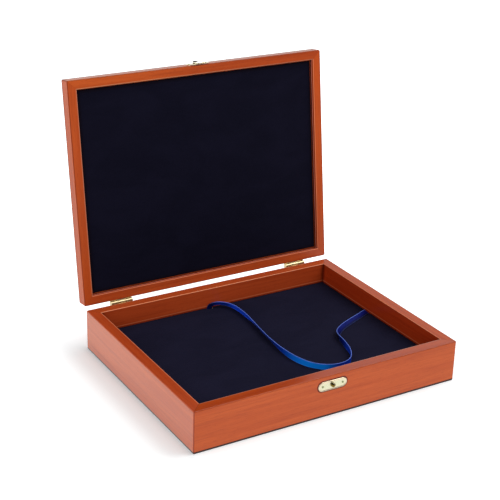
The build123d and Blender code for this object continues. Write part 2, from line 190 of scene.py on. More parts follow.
# the grain's layers: stretch along and across it, then detail, roughness and distortion of the noise
grain = {
    "bands": {"stretch": (5, 95), "noise": (5, 0.55, 0.7), "reach": (0.30, 0.72)},
    "flame": {"stretch": (1.6, 30), "noise": (3, 0.5, 1.6), "reach": (0.50, 0.72, 0, 0.35), "colour": "deep"},
    "streaks": {"stretch": (11, 480), "noise": (3, 0.55, 0.3), "reach": (0.52, 0.70, 0, 0.22), "colour": "pore"},
    "fibres": {"stretch": (34, 1300), "noise": (4, 0.6), "reach": (0.50, 0.75, 0, 0.28), "colour": "pore"},
    "pores": {"stretch": (150, 3600), "noise": (2, 0.5), "reach": (0.60, 0.70, 0, 0.45), "colour": "pore"},
}
# marks on the boards: from which distance to which they change, the share at both, and the tint
marks = {
    "face": (0.2 * mm, 1.0 * mm, 1, 0), "rim": (0.2 * mm, 1.0 * mm, 1, 0), "inside": (0.2 * mm, 0.6 * mm, 1, 0),
    "recessHighlight": {"rise": (3.0 * mm, 3.4 * mm), "fall": (4.0 * mm, 4.3 * mm, 1, 0), "tint": (0.80, 0.25, 0.19)},
    "lining": {"reach": (4.1 * mm, 4.5 * mm), "tint": (0.10, 0.10, 0.12)},
    "nook": {"reach": (0.0, 5.5 * mm, 0.8, 0), "tint": (0.30, 0.16, 0.20)},
    "foot": {"reach": (23.0 * mm, 23.8 * mm, 0.5, 0), "tint": (0.25, 0.14, 0.16)},
    "footLine": {"rise": (23.6 * mm, 24.1 * mm, 0, 0.30), "fall": (24.6 * mm, 25.2 * mm, 1, 0)},
    "outerArris": {"in": (0.7 * mm, 1.1 * mm, 1, 0), "deep": (0.4 * mm, 1.1 * mm, 1, 0), "tint": (0.40, 0.22, 0.12)},
    "innerArris": {"soft": 0.5 * mm, "deep": (0.3 * mm, 0.6 * mm, 1, 0)},
    "corner": {"reach": (0.6 * mm, 1.1 * mm, 0.7, 0), "tint": (0.44, 0.16, 0.06)},
    "bottom": (1.9 * mm, 2.7 * mm, 1, 0), "farSoft": 0.8 * mm, "underSoft": 2 * mm, "drift": (-130 * mm, 130 * mm),
    "grimeAndShadow": {"reach": (5.8 * mm, 6.7 * mm, 1, 0), "tint": (0.26, 0.11, 0.06)},
    "mitre": (0.12 * mm, 0.42 * mm),
}

def woodGrain(tree, coords, look):
    layers = {}
    for name, layer in grain.items():
        along, across = layer["stretch"]
        scale = (along, across, across) if look["way"] == "x" else (across, along, across)
        layers[name] = noise(tree, stretch(tree, coords, scale, look["shift"]), 1.0, *layer["noise"])
    colour = mixColours(tree, reach(tree, layers["bands"], *grain["bands"]["reach"]), wood["deep"], wood["pale"])
    colour = mixColours(tree, look["even"], colour, wood["plain"])
    for name in ("flame", "streaks", "fibres", "pores"):
        share = reach(tree, layers[name], *grain[name]["reach"])
        colour = mixColours(tree, share, colour, wood[grain[name]["colour"]])
    return colour, layers["fibres"], layers["pores"]

def tintEdges(tree, coords, colour, look, onTheLid):
    parts = axes(tree, coords)
    ax, ay = sizeOf(tree, parts["X"]), sizeOf(tree, parts["Y"])
    fromEnd, fromSide = minus(tree, case["halfLength"], ax), minus(tree, case["halfDepth"], ay)
    # how far in from the outside, and from the inside, and how far from the plane where lid and base meet
    inward = smaller(tree, fromEnd, fromSide)
    outward = minus(tree, case["rail" if onTheLid else "wall"], inward)
    deep = sizeOf(tree, minus(tree, parts["Z"], 0.0 if onTheLid else case["seam"]))
    def tinted(place, tint, way="MULTIPLY"):
        return mixColours(tree, place, colour, tint + (1,), way)
    def reached(value, mark):
        return reach(tree, value, *mark["reach"])
    onFace, inside = reach(tree, inward, *marks["face"]), reach(tree, outward, *marks["inside"])
    # painted light and shade: the outside, the edge at the seam and the inside each get their own tint
    colour = tinted(onFace, look["face"])
    colour = tinted(reach(tree, deep, *marks["rim"]), look["rim"])
    colour = tinted(inside, look["inside"])
    if onTheLid:
        # painted shade beside the lining, with a thin painted highlight in front of that
        recessHighlight = between(tree, deep, marks["recessHighlight"]["rise"], marks["recessHighlight"]["fall"])
        colour = tinted(times(tree, inside, recessHighlight), marks["recessHighlight"]["tint"], "MIX")
        colour = tinted(times(tree, inside, reached(deep, marks["lining"])), marks["lining"]["tint"])
    else:
        # painted shade darkens the inner corners and the foot of the walls, and a thin paler line runs above the
        # foot
        nook = larger(tree, minus(tree, case["halfLength"] - case["wall"], ax),
                      minus(tree, case["halfDepth"] - case["wall"], ay))
        colour = tinted(times(tree, inside, reached(nook, marks["nook"])), marks["nook"]["tint"])
        colour = tinted(times(tree, inside, reached(parts["Z"], marks["foot"])), marks["foot"]["tint"])
        line = between(tree, parts["Z"], marks["footLine"]["rise"], marks["footLine"]["fall"])
        colour = mixColours(tree, times(tree, inside, line), colour, wood["wornAndSheen"])
    # the arrises: darker along the outer ones and the outer corners, with a painted shadow beside the lid's catch
    # plate
    outer, inner = marks["outerArris"], marks["innerArris"]
    dark = look["dark"]
    if look["under"]:
        dark = larger(tree, dark, reach(tree, ax, look["under"], look["under"] + marks["underSoft"], 1, 0))
    arris = times(tree, reach(tree, inward, *outer["in"]), reach(tree, deep, *outer["deep"]))
    colour = tinted(times(tree, arris, dark), outer["tint"])
    colour = tinted(reached(larger(tree, fromEnd, fromSide), marks["corner"]), marks["corner"]["tint"])
    # a painted highlight along the inner arris
    arris = times(tree, reach(tree, outward, look["thin"], look["thin"] + inner["soft"], 1, 0),
                  reach(tree, deep, *inner["deep"]))
    colour = mixColours(tree, times(tree, arris, look["wornAndSheen"]), colour, wood[look["sheenTo"]])
    # painted shade on the far edge: the lid's top or the base's foot
    if onTheLid:
        far = reach(tree, deep, look["farFrom"], look["farFrom"] + marks["farSoft"])
    else:
        far = reach(tree, parts["Z"], *marks["bottom"])
    colour = tinted(times(tree, far, onFace), look["far"])
    if look["drift"]:
        along = reach(tree, parts[look["way"].upper()], *marks["drift"])
        left, right = (tint + (1,) for tint in look["drift"])
        colour = mixColours(tree, 1.0, colour, mixColours(tree, along, left, right), "MULTIPLY")
    # grime and a painted shadow round the catch plate
    if look["plate"]:
        colour = tinted(reached(fromCatch(tree, coords), marks["grimeAndShadow"]), marks["grimeAndShadow"]["tint"])
    # how far a point is from the mitre: |x| - |y| less their difference at the corner
    gap = sizeOf(tree, minus(tree, minus(tree, ax, ay), case["halfLength"] - case["halfDepth"]))
    return mixColours(tree, reach(tree, gap, *marks["mitre"], look["mitre"], 0.0), colour, wood["joint"])

def makeWood(name, look):
    onTheLid = name.startswith("lid")
    material, tree, shader = startMaterial("wood_" + name, {
        **wood["fixed"], "Coat Weight": look["coat"], "Specular IOR Level": look["shine"]})
    coords = boardCoords(tree, onTheLid)
    colour, fibres, pores = woodGrain(tree, coords, look)
    if look["edges"]:
        colour = tintEdges(tree, coords, colour, look, onTheLid)
    heights = minus(tree, times(tree, fibres, wood["fibreHigh"]), reach(tree, pores, *wood["poreDeep"]))
    rough = plus(tree, wood["roughness"], times(tree, fibres, wood["spread"]))
    connect(tree, shader, colour, heights, wood["bump"], rough)
    dress([name], material)

# what a board can have of its own:
# shift, way, even: where its grain starts, which way it runs, and how even it is
# edges: whether it has any of the marks; shine, coat: of its lacquer
# face, rim, inside: tints of the outside, of the edge at the seam and of the inside, painting light and shade on
# each side
# far, farFrom: painted shade on the outside's far edge, and on the lid how far from the seam that starts
# dark, under: how much darker the outer arris is, and how far out from its middle a painted shadow makes it darkest
# worn, sheenTo, thin: how strong the painted highlight along the inner arris is, which colour it paints, and how
# wide it is
# mitre, drift, plate: the joint's line, two tints for its ends, and grime with a painted shadow round the catch
# plate
same = (1.0, 1.0, 1.0)
board = {
    "way": "x", "even": 0.55, "edges": True, "shine": 0.33, "coat": 0.12,
    "face": same, "rim": same, "inside": (1.0, 0.88, 1.0), "far": (0.05, 0.03, 0.03), "farFrom": 12.6 * mm,
    "dark": 0.0, "under": None, "wornAndSheen": 0.6, "sheenTo": "wornAndSheen", "thin": 0.4 * mm,
    "mitre": 0.75, "drift": None, "plate": False,
}
boards = {
    "base_front_wall": {
        "shift": (3.1, 0.4, 7.7), "face": (1.04, 1.18, 1.0), "rim": (0.89, 0.77, 0.35),
        "dark": 0.3, "sheenTo": "dullSheen", "thin": 0.8 * mm, "plate": True},
    "base_back_wall": {"shift": (8.3, 5.2, 1.9), "wornAndSheen": 0.95, "dark": 0.5},
    "base_left_wall": {
        "shift": (1.7, 9.1, 4.3), "way": "y", "shine": 0.5, "coat": 0.22,
        "face": (1.14, 1.38, 1.12), "rim": (1.0, 0.88, 0.9), "thin": 0.8 * mm},
    "base_right_wall": {
        "shift": (6.5, 2.8, 8.8), "way": "y", "shine": 0.16, "coat": 0.06,
        "rim": (0.94, 0.95, 0.95), "inside": (0.97, 0.60, 0.55), "dark": 0.8},
    "lid_front_rail": {
        "shift": (4.9, 7.3, 2.2), "shine": 0.2, "coat": 0.05,
        "face": (1.0, 1.25, 1.2), "far": (0.40, 0.50, 0.60), "farFrom": 11.2 * mm,
        "dark": 0.4, "under": 10.5 * mm, "sheenTo": "dullSheen", "thin": 0.7 * mm,
        "mitre": 0.2, "drift": ((1.06, 1.2, 1.0), (0.84, 0.78, 0.7))},
    "lid_back_rail": {"shift": (9.4, 1.6, 5.8), "dark": 0.5, "far": (0.5, 0.6, 0.9), "mitre": 0.2},
    "lid_left_rail": {
        "shift": (2.6, 6.7, 9.9), "way": "y", "shine": 0.16, "coat": 0.06,
        "face": (1.1, 1.25, 1.1), "rim": (0.96, 1.0, 0.9), "far": (0.5, 0.55, 0.6),
        "dark": 0.75, "sheenTo": "dullSheen", "thin": 0.7 * mm, "mitre": 0.2},
    "lid_right_rail": {
        "shift": (7.2, 3.5, 0.6), "way": "y", "shine": 0.26,
        "rim": (1.0, 0.95, 0.6), "far": (0.5, 0.6, 0.9), "dark": 0.9, "mitre": 0.2},
    "lid_top_panel": {"shift": (5.5, 8.6, 3.3), "even": 0.40, "edges": False},
}
for name, own in boards.items():
    makeWood(name, {**board, **own})
print("boards stained:", len(boards))


# plain wood, the stained bottom board and the lining card
plain = {
    "rawWood": {
        "pale": (0.62, 0.43, 0.24, 1), "dark": (0.44, 0.28, 0.14, 1), "roughness": 0.58, "stretch": (12, 420)},
    "bottomBoard": {
        "pale": (0.240, 0.074, 0.027, 1), "dark": (0.100, 0.028, 0.011, 1), "roughness": 0.46, "stretch": (9, 170)},
    "liningCard": {
        "pale": (0.105, 0.030, 0.020, 1), "dark": (0.065, 0.018, 0.013, 1), "roughness": 0.71,
        "stretch": (500, 500)},
}
plainGrain = {
    "fixed": {"IOR": 1.45}, "bands": (5, 0.6, 0.5), "bandShare": 0.8, "specks": (2400, 2, 0.6), "speckShare": 0.3,
    "reach": (0.35, 0.75), "spread": 0.08, "bump": {"Strength": 0.3, "Distance": 0.15 * mm},
}

def makePlainBoard(name, onTheLid=False):
    look = plain[name]
    material, tree, shader = startMaterial(name, plainGrain["fixed"])
    coords = boardCoords(tree, onTheLid)
    along, across = look["stretch"]
    bands = noise(tree, stretch(tree, coords, (along, across, across)), 1.0, *plainGrain["bands"])
    specks = noise(tree, coords, *plainGrain["specks"])
    share = plus(tree, times(tree, bands, plainGrain["bandShare"]), times(tree, specks, plainGrain["speckShare"]))
    colour = mixColours(tree, reach(tree, share, *plainGrain["reach"]), look["dark"], look["pale"])
    rough = plus(tree, look["roughness"], times(tree, specks, plainGrain["spread"]))
    connect(tree, shader, colour, share, plainGrain["bump"], rough)
    return material

battens = ["floor_batten_" + side for side in ("front", "back", "left", "right")]
dress(battens + ["floor_board"], makePlainBoard("rawWood"))
dress(["base_bottom_panel"], makePlainBoard("bottomBoard"))
dress(["lid_lining_card"], makePlainBoard("liningCard", True))


# pale plated brass, brushed a little and never quite even
brass = {
    "pale": {"clean": (0.97, 0.90, 0.68, 1), "dull": (0.86, 0.78, 0.50, 1), "roughness": 0.19},
    "wornAndSheen": {"clean": (0.80, 0.66, 0.38, 1), "dull": (0.50, 0.38, 0.18, 1), "roughness": 0.27},
    "dark": {"clean": (0.44, 0.46, 0.26, 1), "dull": (0.22, 0.22, 0.11, 1), "roughness": 0.11},
}
metal = {
    "fixed": {"Metallic": 1.0, "Coat Weight": 0.15, "Coat Roughness": 0.12},
    "cloud": (260, 4, 0.6), "dullReach": (0.52, 0.78, 0, 0.6), "brushed": (500, 7000, 7000), "brushNoise": (2, 0.6),
    "spread": 0.09, "bump": {"Strength": 0.12, "Distance": 0.04 * mm},
}
# tarnish and painted shade: distances from the middle of the knob, of the plate and of the hasp's hole
tarnishAndShade = {
    "knob": {
        "share": 0.5, "bright": (0.300, 0.220, 0.060, 1), "left": (0.030, 0.023, 0.008, 1),
        "low": (0.270, 0.175, 0.026, 1), "side": (-1.0 * mm, 0.6 * mm, 1, 0), "rise": (0.3 * mm, 1.3 * mm, 1, 0)},
    "plate": {"field": (0.93, 0.99, 0.92, 1), "border": (1.04, 0.98, 0.92, 1), "reach": (2.6 * mm, 3.4 * mm)},
    "hole": {"dark": (0.016, 0.014, 0.006, 1), "reach": (2.75 * mm, 3.00 * mm, 1, 0)},
}

def shadeKnob(tree, coords, colour):
    # the head is tarnished to a dark olive, lightest at its upper right, with a nearly black painted reflection at
    # its upper left and painted shade on its lower part
    look, parts = tarnishAndShade["knob"], axes(tree, coords)
    bright = mixColours(tree, look["share"], colour, look["bright"])
    upper = mixColours(tree, reach(tree, parts["X"], *look["side"]), bright, look["left"])
    rise = minus(tree, parts["Z"], catch["height"])
    return mixColours(tree, reach(tree, rise, *look["rise"]), upper, look["low"])

def shadePlate(tree, coords, colour):
    # the sunk field is a little greener than the border
    look = tarnishAndShade["plate"]
    tint = mixColours(tree, reach(tree, fromCatch(tree, coords), *look["reach"]), look["field"], look["border"])
    return mixColours(tree, 1.0, colour, tint, "MULTIPLY")

def shadeEyelet(tree, coords, colour):
    # painted shade: dark inside the hole, and on the lid's plate under it
    look, parts = tarnishAndShade["hole"], axes(tree, coords)
    away = distance(tree, parts["X"], minus(tree, parts["Z"], catch["hole"]))
    return mixColours(tree, reach(tree, away, *look["reach"]), colour, look["dark"])

def makeBrass(name, look, onTheLid=False, shade=None):
    material, tree, shader = startMaterial(name, metal["fixed"])
    coords = boardCoords(tree, onTheLid)
    cloud = noise(tree, coords, *metal["cloud"])
    brushed = noise(tree, stretch(tree, coords, metal["brushed"]), 1.0, *metal["brushNoise"])
    colour = mixColours(tree, reach(tree, cloud, *metal["dullReach"]), look["clean"], look["dull"])
    if shade:
        colour = shade(tree, coords, colour)
    rough = plus(tree, look["roughness"], times(tree, plus(tree, cloud, brushed), metal["spread"]))
    connect(tree, shader, colour, brushed, metal["bump"], rough)
    return material

lidLeaves = ["hinge_left_lid_leaf", "hinge_right_lid_leaf"]
baseHinges = [n for n in nodes if n.startswith("hinge") and n not in lidLeaves]
dress(baseHinges, makeBrass("brassHinge", brass["wornAndSheen"]))
dress(lidLeaves, makeBrass("brassLidHinge", brass["wornAndSheen"], True))
dress(["base_plate_nails"], makeBrass("brassNails", brass["dark"]))
dress(["lid_plate_nails"], makeBrass("brassLidNails", brass["dark"], True))
dress(["catch_knob"], makeBrass("brassKnob", brass["pale"], False, shadeKnob))
dress(["lid_catch_plate", "hasp_pin", "hasp"], makeBrass("brassHasp", brass["pale"], True, shadeEyelet))
print("metal dressed")


# new pieces
def gridFaces(rows, columns, closeRows=False, closeColumns=False):
    # each square joins a point to the next in its row and the two behind them
    i, j = np.meshgrid(np.arange(rows - (not closeRows)), np.arange(columns - (not closeColumns)), indexing="ij")
    i, j = i.ravel(), j.ravel()
    nextI, nextJ = (i + 1) % rows, (j + 1) % columns
    return np.stack((i * columns + j, nextI * columns + j, nextI * columns + nextJ, i * columns + nextJ), -1)

def cappedFaces(rows, columns):
    # a tube of rings, with a face over its first and its last
    ends = [list(range(columns)), list(range(rows * columns - 1, (rows - 1) * columns - 1, -1))]
    return gridFaces(rows, columns, closeColumns=True).tolist() + ends

def makePiece(name, points, faces, material, body, pointMap=None, sharp=50, double=2e-7, sliver=1e-8):
    # points n x 3 and faces go in as whole arrays; doubles are merged and faces turned outwards
    data = bpy.data.meshes.new(name)
    data.from_pydata(points.reshape(-1, 3).tolist(), [], [list(f) for f in faces])
    if pointMap is not None:
        layer = data.uv_layers.new(name="surface")
        corners = np.zeros(len(data.loops), np.int32)
        data.loops.foreach_get("vertex_index", corners)
        layer.data.foreach_set("uv", pointMap.reshape(-1, 2)[corners].astype(np.float32).ravel())
    shell = bmesh.new()
    shell.from_mesh(data)
    bmesh.ops.remove_doubles(shell, verts=shell.verts, dist=double)
    bmesh.ops.dissolve_degenerate(shell, edges=shell.edges, dist=sliver)
    bmesh.ops.recalc_face_normals(shell, faces=shell.faces)
    shell.to_mesh(data)
    shell.free()
    data.shade_smooth()
    data.set_sharp_from_angle(angle=math.radians(sharp))
    data.materials.append(material)
    piece = bpy.data.objects.new(name, data)
    bpy.context.scene.collection.objects.link(piece)
    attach(piece, body)
    return piece


# the plate pressed from sheet, with a raised border round a sunk field: inset and height of each ring, in mm
plate = {
    "front": -0.120, "turns": 64,
    "profile": [(0.0, 0.02), (0.0, 0.34), (0.10, 0.58), (0.30, 0.76), (0.55, 0.84), (0.80, 0.78), (1.02, 0.64),
                (1.22, 0.57), (1.50, 0.55), (2.6, 0.55), (3.8, 0.56), (4.6, 0.56)],
}

def pressPlate():
    # two half circles joined by straights; each ring of the profile is that outline, drawn in by its inset
    inset, height = np.array(plate["profile"]).T * mm
    turn = np.linspace(-np.pi / 2, np.pi / 2, plate["turns"] // 2)
    turn = np.concatenate((turn, turn + np.pi))
    # the cosine says whether a point is on the right or the left one, and the sine where that is 0
    side = np.where(np.cos(turn) + 1e-9 * np.sin(turn) > 0, 1, -1)
    shift = side * (catch["halfLong"] - catch["halfWide"])
    radius = (catch["halfWide"] - inset)[:, None]
    x, z = shift + radius * np.cos(turn), catch["height"] + radius * np.sin(turn)
    points = np.stack((x, plate["front"] - height[:, None] + 0 * x, z), -1)
    material = makeBrass("brassPlate", brass["pale"], False, shadePlate)
    piece = makePiece("plate_catch_base", points, cappedFaces(*x.shape), material, "base")
    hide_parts("catch_base_plate")

# the hasp's eyelet: radius and height of its profile in mm, which goes once round the lip's section
eyelet = {
    "turns": 48, "share": 0.80, "lift": 0.46,
    "profile": [(2.44, 0.72), (2.44, 1.90), (2.52, 2.06), (2.70, 2.16), (2.95, 2.17), (3.20, 2.08), (3.34, 1.93),
                (3.10, 1.70), (2.74, 1.55), (2.74, 0.72)],
}

def pressEyelet():
    # the profile turned round the hole's own middle and lifted towards the hasp's free end:
    # height over the sheet x (share + lift x sine of the turn)
    radius, out = np.array(eyelet["profile"]).T * mm
    turn = np.linspace(0, 2 * np.pi, eyelet["turns"], endpoint=False)
    x, rise = radius[:, None] * np.cos(turn), catch["hole"] + radius[:, None] * np.sin(turn)
    low = out.min()
    out = low + (out[:, None] - low) * (eyelet["share"] + eyelet["lift"] * np.sin(turn))
    points = onLid(x, lid["front"] + out, rise)
    faces = gridFaces(*x.shape, closeRows=True, closeColumns=True)
    material = makeBrass("brassEyelet", brass["pale"], True, shadeEyelet)
    piece = makePiece("eyelet_hasp", points, faces, material, "hasp")

pressPlate()
pressEyelet()
print("plates pressed")


# velvet: dark navy pile, brushed a little unevenly
velvet = {
    "floor": {"shade": (0.0072, 0.0070, 0.0195, 1), "nap": (0.0095, 0.0092, 0.0245, 1)},
    # the lid's copy is darker than the floor's: painted shade
    "lid": {"shade": (0.0031, 0.0029, 0.0092, 1), "nap": (0.0043, 0.0040, 0.0120, 1)},
    "fixed": {
        "Roughness": 0.95, "Specular IOR Level": 0.06, "Sheen Weight": 0.03, "Sheen Roughness": 0.4,
        "Sheen Tint": (0.30, 0.32, 0.70, 1)},
    "brushed": (16, 30, 30), "brushNoise": (3, 0.55, 0.8), "brushShare": 0.6,
    "pile": (1500, 3, 0.65), "pileShare": 0.4, "tufts": (420, 2, 0.5), "tuftHigh": 0.8, "napReach": (0.36, 0.64),
    "bump": {"Strength": 0.7, "Distance": 0.35 * mm},
    # painted shade: along its edges the pile is darker
    "edgeShade": {"halfX": 140.5 * mm, "halfY": 108 * mm, "reach": (0.5 * mm, 4.0 * mm, 0.5, 0),
               "colour": (0.0040, 0.0012, 0.0015, 1)},
}

def makeVelvet(name, colours, onTheLid):
    material, tree, shader = startMaterial(name, velvet["fixed"])
    coords = boardCoords(tree, onTheLid)
    brushed = noise(tree, stretch(tree, coords, velvet["brushed"]), 1.0, *velvet["brushNoise"])
    pile, tufts = noise(tree, coords, *velvet["pile"]), noise(tree, coords, *velvet["tufts"])
    share = plus(tree, times(tree, brushed, velvet["brushShare"]), times(tree, pile, velvet["pileShare"]))
    colour = mixColours(tree, reach(tree, share, *velvet["napReach"]), colours["shade"], colours["nap"])
    parts, edgeShade = axes(tree, coords), velvet["edgeShade"]
    inset = smaller(tree, minus(tree, edgeShade["halfX"], sizeOf(tree, parts["X"])),
                    minus(tree, edgeShade["halfY"], sizeOf(tree, parts["Y"])))
    colour = mixColours(tree, reach(tree, inset, *edgeShade["reach"]), colour, edgeShade["colour"])
    heights = plus(tree, pile, times(tree, tufts, velvet["tuftHigh"]))
    connect(tree, shader, colour, heights, velvet["bump"])
    return material

# both sheets: how thick they are in the middle, and which share of that at their edge
# how far in the edge is rounded and the waves are less; the grid's steps, and those at edges and notches
sheet = {
    "thick": 0.6 * mm, "edgeShare": 0.25, "edge": 0.7 * mm, "wave": 0.07 * mm, "waveFrom": 8 * mm,
    "step": 2.4 * mm, "margin": 3 * mm, "atEdge": np.array((0, 0.08, 0.2, 0.4, 0.7, 1.2, 2.0)) * mm,
    "atNotch": np.array((-4.8, -4.25, -4.15, -3.6, 0, 3.6, 4.15, 4.25, 4.8)) * mm,
    "notchHalf": 4.25 * mm, "notchSoft": 0.1 * mm, "notchReach": 6 * mm,
}
floorSheet = {
    "halfX": 140.25 * mm, "halfY": 107.75 * mm, "under": 21.9 * mm, "seed": 0.7,
    "notches": [
        {"side": "back", "at": -11 * mm, "deep": 3.2 * mm}, {"side": "right", "at": 16.6 * mm, "deep": 3.2 * mm}],
}
liningSheet = {"halfX": 140.9 * mm, "halfY": 108.4 * mm, "under": 4.95 * mm, "seed": 2.9, "notches": []}

def gridLine(half, notches):
    # even steps, with closer ones at both ends and round the notches
    inner = np.arange(-half + sheet["margin"], half - sheet["margin"], sheet["step"])
    extra = [notch["at"] + sheet["atNotch"] for notch in notches]
    return np.unique(np.round(np.concatenate((inner, sheet["atEdge"] - half, half - sheet["atEdge"], *extra)), 7))

def velvetSheet(name, own, place, material, body):
    # rise = thickness, rounded off near the edge, plus three slow waves, in radians per metre
    # a notch pulls the edge back
    halfX, halfY, seed, notches = own["halfX"], own["halfY"], own["seed"], own["notches"]
    x, y = np.meshgrid(gridLine(halfX, [n for n in notches if n["side"] == "back"]),
                       gridLine(halfY, [n for n in notches if n["side"] == "right"]), indexing="ij")
    inset = np.minimum(halfX - np.abs(x), halfY - np.abs(y))
    roundness = np.sqrt(np.clip(1 - (1 - np.clip(inset / sheet["edge"], 0, 1)) ** 2, 0, 1))
    waves = np.sin(31 * x + 2.1 * np.sin(23 * y + seed)) + np.sin(47 * y - 1.7 * np.sin(37 * x + seed))
    waves = (waves + np.sin(61 * (x + y) + seed)) / 3 * np.clip(inset / sheet["waveFrom"], 0, 1)
    rise = sheet["thick"] * (sheet["edgeShare"] + (1 - sheet["edgeShare"]) * roundness) + sheet["wave"] * waves
    for notch in notches:
        along, toEdge = (x, halfY - y) if notch["side"] == "back" else (y, halfX - x)
        pull = np.clip((sheet["notchHalf"] - np.abs(along - notch["at"])) / sheet["notchSoft"], 0, 1)
        pull = notch["deep"] * pull * np.clip(1 - toEdge / sheet["notchReach"], 0, 1)
        if notch["side"] == "back":
            y = y - pull
        else:
            x = x - pull
    top, under = place(x, y, rise), place(x, y, 0 * rise)
    rows, columns = x.shape
    count = rows * columns
    faces = gridFaces(rows, columns)
    # once round the grid's edge
    ring = np.concatenate((
        np.arange(columns), np.arange(2, rows) * columns - 1,
        np.arange(count - 1, count - columns - 1, -1), np.arange(rows - 2, 0, -1) * columns))
    nextRing = np.roll(ring, -1)
    sides = np.stack((ring, nextRing, nextRing + count, ring + count), -1)
    allFaces = np.concatenate((faces, faces[:, ::-1] + count, sides))
    points = np.concatenate((top.reshape(-1, 3), under.reshape(-1, 3)))
    return makePiece(name, points, allFaces, material, body, sharp=60)

def onFloor(x, y, rise):
    return np.stack((x, y, floorSheet["under"] + rise), -1)

def onLining(x, y, rise):
    return onLid(x, lid["middle"] - y, liningSheet["under"] - rise)

floorPile = makeVelvet("velvetOnBase", velvet["floor"], False)
floorVelvet = velvetSheet("velvet_floor", floorSheet, onFloor, floorPile, "base")
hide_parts("floor_velvet")

lidPile = makeVelvet("velvetOnLid", velvet["lid"], True)
lidVelvet = velvetSheet("velvet_lid", liningSheet, onLining, lidPile, "lid")
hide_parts("lid_velvet")
print("velvet laid")


# lifting ribbon: narrow blue satin, standing mostly on its edge
# route: the middle line's control points, in mm; lean: share of its length and degrees from upright
# across, thickness: where its section has points, from -1 to 1, and half of it as a share of thick
ribbon = {
    "width": 6.5 * mm, "thick": 0.42 * mm, "step": 0.8 * mm, "smooth": 24, "order": 3, "slanting": 0.05,
    "route": [
        (-11, 107.3, 18.9), (-11, 107.3, 23.5), (-8.4, 106.1, 26.4), (-2.4, 104.2, 27.4), (5.2, 101.4, 26.6),
        (9.9, 93.9, 26.1), (12.1, 82.4, 25.95), (12, 67.6, 25.95), (11.4, 50.4, 25.75), (8.2, 29.4, 25.75),
        (5.6, 5.3, 25.75), (3.2, -20.6, 25.95), (4.9, -46.3, 25.95), (13.4, -67.2, 25.95), (30.2, -79.2, 25.95),
        (50.8, -77.9, 25.95), (63.9, -61.6, 25.95), (69.4, -41, 25.95), (73.4, -20.9, 25.95), (82.6, -11.2, 25.65),
        (96, -2.9, 25.15), (111, 4.2, 24.65), (124.4, 9.7, 24.45), (132.4, 13.4, 24.45), (136.6, 15.2, 24.35),
        (138.8, 16.2, 23.2), (139.8, 16.6, 21), (139.8, 16.6, 18.9)],
    "lean": [
        (0, 25), (0.015, 26), (0.03, 33), (0.055, 36), (0.10, 15), (0.16, 14), (0.20, 28), (0.32, 29), (0.36, 19),
        (0.40, 6), (0.44, -8), (0.48, -8), (0.52, 2), (0.60, 3), (0.68, 0), (0.73, 10), (0.76, 0), (0.80, -32),
        (0.84, -52), (0.93, -64), (0.975, -68), (1, -70)],
    "across": (-1, -0.985, -0.95, -0.90, -0.84, -0.5, 0, 0.5, 0.84, 0.90, 0.95, 0.985, 1),
    "thickness": [(0, 0.5), (0.84, 0.5), (0.90, 0.62), (0.95, 0.74), (0.985, 0.5), (1, 0)],
}
# satin: X is the way along the ribbon in metres, Y the share of its width from the lower edge
satin = {
    "fixed": {
        "IOR": 1.45, "Roughness": 0.45, "Specular IOR Level": 0.08, "Sheen Weight": 0.02, "Sheen Roughness": 0.3,
        "Sheen Tint": (0.15, 0.45, 1.0, 1)},
    "threads": (5200, 14, 1), "longThreads": (60, 260, 1), "threadReach": (0.3, 0.7), "longHigh": 0.5,
    "deep": (0.0014, 0.017, 0.33, 1), "plain": (0.0035, 0.050, 0.50, 1),
    "azure": {"rise": (0.140, 0.198), "fall": (0.203, 0.221, 1, 0), "colour": (0.0035, 0.260, 1.0, 1)},
    "lit": {"rise": (0.024, 0.036), "fall": (0.070, 0.095, 1, 0), "colour": (0.0120, 0.085, 0.95, 1)},
    "away": {"reach": (0.262, 0.285, 0, 0.9), "colour": (0.0002, 0.0035, 0.090, 1)},
    "lowerShade": {"reach": (0.262, 0.285), "across": (0.05, 0.55, 0.8, 0), "colour": (0.0002, 0.0010, 0.012, 1)},
    "selvedge": {"upper": (0.88, 0.94, 0, 0.85), "lower": (0.03, 0.08, 0.2, 0), "colour": (0.15, 0.24, 0.78, 1)},
    "foot": {"reach": (0.006, 0.018, 0.9, 0), "colour": (0.0010, 0.002, 0.020, 1)},
    "bump": {"Strength": 0.35, "Distance": 0.08 * mm},
}

def ribbonLine():
    # the smooth line of the route, as the points of its mesh, spaced evenly
    curve = bpy.data.curves.new("ribbonRoute", "CURVE")
    curve.dimensions = "3D"
    curve.resolution_u = ribbon["smooth"]
    spline = curve.splines.new("NURBS")
    spline.points.add(len(ribbon["route"]) - 1)
    route = np.array(ribbon["route"]) * mm
    spline.points.foreach_set("co", np.column_stack((route, np.ones(len(route)))).ravel())
    spline.order_u = ribbon["order"]
    spline.use_endpoint_u = True
    holder = bpy.data.objects.new("ribbonRoute", curve)
    line = bpy.data.meshes.new_from_object(holder)
    points = np.zeros(len(line.vertices) * 3)
    line.vertices.foreach_get("co", points)
    points = points.reshape(-1, 3)
    bpy.data.objects.remove(holder)
    bpy.data.meshes.remove(line)
    run = np.concatenate(([0], np.cumsum(np.linalg.norm(np.diff(points, axis=0), axis=1))))
    even = np.linspace(0, run[-1], int(run[-1] / ribbon["step"]) + 1)
    return np.stack([np.interp(even, run, points[:, k]) for k in range(3)], -1), even

